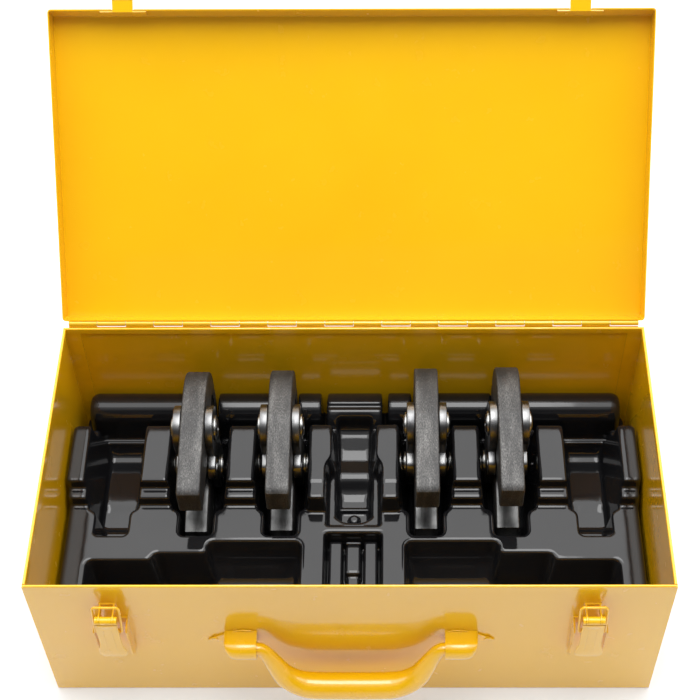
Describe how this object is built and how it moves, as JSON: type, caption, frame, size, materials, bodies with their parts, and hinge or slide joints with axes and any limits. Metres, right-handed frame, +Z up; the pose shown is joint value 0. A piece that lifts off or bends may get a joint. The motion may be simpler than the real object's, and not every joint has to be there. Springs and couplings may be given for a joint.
{
  "type": "pressing tool case with tongs",
  "caption": "Carrying case of sheet steel with a hinged lid, draw latches, a folding handle and a formed insert that holds pressing tongs for pipe fittings.",
  "frame": {"origin": "centre of the underside of the case body", "axes": "+X to the right along the case's length, -Y towards its front with the latches and handle, +Z up"},
  "size_m": [0.5, 0.4741, 0.3783],
  "materials": {
    "case_paint": "glossy yellow paint",
    "insert_plastic": "glossy black formed sheet",
    "forged_steel": "phosphated forging",
    "ground_steel": "ground and zinc plated",
    "zinc_steel": "zinc plated",
    "spring_steel": "spring wire"
  },
  "bodies": {
    "case": {"body_wrap": "case_paint", "end_panel_left": "case_paint", "end_panel_right": "case_paint", "hinge_body_leaf": "case_paint", "hinge_pin": "zinc_steel", "latch_base_left": "case_paint", "latch_pin_left": "zinc_steel", "latch_base_right": "case_paint", "latch_pin_right": "zinc_steel", "latch_rivets": "case_paint", "handle_bracket_left": "case_paint", "handle_bracket_right": "case_paint", "handle_rivets": "case_paint", "insert_tray": "insert_plastic"},
    "lid": {"lid_shell": "case_paint", "hinge_lid_leaf": "case_paint", "keeper_left": "case_paint", "keeper_right": "case_paint"},
    "latch_left": {"latch_lever_left": "case_paint"},
    "bail_left": {"latch_bail_left": "case_paint"},
    "latch_right": {"latch_lever_right": "case_paint"},
    "bail_right": {"latch_bail_right": "case_paint"},
    "handle": {"handle_grip": "case_paint"},
    "tong_1": {"tong_1_plate_left": "ground_steel", "tong_1_plate_right": "ground_steel", "tong_1_pins": "ground_steel", "tong_1_rings": "ground_steel", "tong_1_spring": "spring_steel"},
    "tong_1_upper": {"tong_1_upper_jaw": "forged_steel"},
    "tong_1_lower": {"tong_1_lower_jaw": "forged_steel"},
    "tong_2": {"tong_2_plate_left": "ground_steel", "tong_2_plate_right": "ground_steel", "tong_2_pins": "ground_steel", "tong_2_rings": "ground_steel", "tong_2_spring": "spring_steel"},
    "tong_2_upper": {"tong_2_upper_jaw": "forged_steel"},
    "tong_2_lower": {"tong_2_lower_jaw": "forged_steel"},
    "tong_3": {"tong_3_plate_left": "ground_steel", "tong_3_plate_right": "ground_steel", "tong_3_pins": "ground_steel", "tong_3_rings": "ground_steel", "tong_3_spring": "spring_steel"},
    "tong_3_upper": {"tong_3_upper_jaw": "forged_steel"},
    "tong_3_lower": {"tong_3_lower_jaw": "forged_steel"},
    "tong_4": {"tong_4_plate_left": "ground_steel", "tong_4_plate_right": "ground_steel", "tong_4_pins": "ground_steel", "tong_4_rings": "ground_steel", "tong_4_spring": "spring_steel"},
    "tong_4_upper": {"tong_4_upper_jaw": "forged_steel"},
    "tong_4_lower": {"tong_4_lower_jaw": "forged_steel"}
  },
  "joints": [
    {"name": "lid_hinge", "type": "hinge", "parent": "case", "child": "lid", "pos_m": [0, 0.1318, 0.1705], "axis": [-1, 0, 0], "range_deg": [-130, 0]},
    {"name": "latch_left_lever", "type": "hinge", "parent": "case", "child": "latch_left", "pos_m": [-0.188, -0.1435, 0.141], "axis": [1, 0, 0], "range_deg": [-150, 0]},
    {"name": "latch_left_bail", "type": "hinge", "parent": "latch_left", "child": "bail_left", "pos_m": [-0.188, -0.1435, 0.124], "axis": [1, 0, 0], "range_deg": [0, 150]},
    {"name": "latch_right_lever", "type": "hinge", "parent": "case", "child": "latch_right", "pos_m": [0.188, -0.1435, 0.141], "axis": [1, 0, 0], "range_deg": [-150, 0]},
    {"name": "latch_right_bail", "type": "hinge", "parent": "latch_right", "child": "bail_right", "pos_m": [0.188, -0.1435, 0.124], "axis": [1, 0, 0], "range_deg": [0, 150]},
    {"name": "handle_hinge", "type": "hinge", "parent": "case", "child": "handle", "pos_m": [0, -0.1415, 0.0925], "axis": [1, 0, 0], "range_deg": [-150, 13]},
    {"name": "tong_1_lift", "type": "slide", "parent": "case", "child": "tong_1", "axis": [0, 0, 1], "range_m": [0, 0.25]},
    {"name": "tong_1_upper_jaw_pivot", "type": "hinge", "parent": "tong_1", "child": "tong_1_upper", "pos_m": [-0.1352, 0.05297, 0.12588], "axis": [1, 0, 0], "range_deg": [0, 4], "stiffness_Nm_per_rad": 1.5, "springref_deg": -20.05, "deforming": ["tong_1_spring"]},
    {"name": "tong_1_lower_jaw_pivot", "type": "hinge", "parent": "tong_1", "child": "tong_1_lower", "pos_m": [-0.1352, 0.05863, 0.06112], "axis": [1, 0, 0], "range_deg": [-4, 0]},
    {"name": "tong_2_lift", "type": "slide", "parent": "case", "child": "tong_2", "axis": [0, 0, 1], "range_m": [0, 0.25]},
    {"name": "tong_2_upper_jaw_pivot", "type": "hinge", "parent": "tong_2", "child": "tong_2_upper", "pos_m": [-0.0618, 0.05377, 0.12668], "axis": [1, 0, 0], "range_deg": [0, 4], "stiffness_Nm_per_rad": 1.5, "springref_deg": -20.05, "deforming": ["tong_2_spring"]},
    {"name": "tong_2_lower_jaw_pivot", "type": "hinge", "parent": "tong_2", "child": "tong_2_lower", "pos_m": [-0.0618, 0.05943, 0.06192], "axis": [1, 0, 0], "range_deg": [-4, 0]},
    {"name": "tong_3_lift", "type": "slide", "parent": "case", "child": "tong_3", "axis": [0, 0, 1], "range_m": [0, 0.25]},
    {"name": "tong_3_upper_jaw_pivot", "type": "hinge", "parent": "tong_3", "child": "tong_3_upper", "pos_m": [0.0625, 0.05437, 0.12838], "axis": [1, 0, 0], "range_deg": [0, 4], "stiffness_Nm_per_rad": 1.5, "springref_deg": -20.05, "deforming": ["tong_3_spring"]},
    {"name": "tong_3_lower_jaw_pivot", "type": "hinge", "parent": "tong_3", "child": "tong_3_lower", "pos_m": [0.0625, 0.06003, 0.06362], "axis": [1, 0, 0], "range_deg": [-4, 0]},
    {"name": "tong_4_lift", "type": "slide", "parent": "case", "child": "tong_4", "axis": [0, 0, 1], "range_m": [0, 0.25]},
    {"name": "tong_4_upper_jaw_pivot", "type": "hinge", "parent": "tong_4", "child": "tong_4_upper", "pos_m": [0.1323, 0.05487, 0.12938], "axis": [1, 0, 0], "range_deg": [0, 4], "stiffness_Nm_per_rad": 1.5, "springref_deg": -20.05, "deforming": ["tong_4_spring"]},
    {"name": "tong_4_lower_jaw_pivot", "type": "hinge", "parent": "tong_4", "child": "tong_4_lower", "pos_m": [0.1323, 0.06053, 0.06462], "axis": [1, 0, 0], "range_deg": [-4, 0]}
  ],
  "couplings": [
    {"joint": "latch_left_bail", "follows": "latch_left_lever", "ratio": -1},
    {"joint": "latch_right_bail", "follows": "latch_right_lever", "ratio": -1},
    {"joint": "tong_1_lower_jaw_pivot", "follows": "tong_1_upper_jaw_pivot", "ratio": -1},
    {"joint": "tong_2_lower_jaw_pivot", "follows": "tong_2_upper_jaw_pivot", "ratio": -1},
    {"joint": "tong_3_lower_jaw_pivot", "follows": "tong_3_upper_jaw_pivot", "ratio": -1},
    {"joint": "tong_4_lower_jaw_pivot", "follows": "tong_4_upper_jaw_pivot", "ratio": -1}
  ]
}
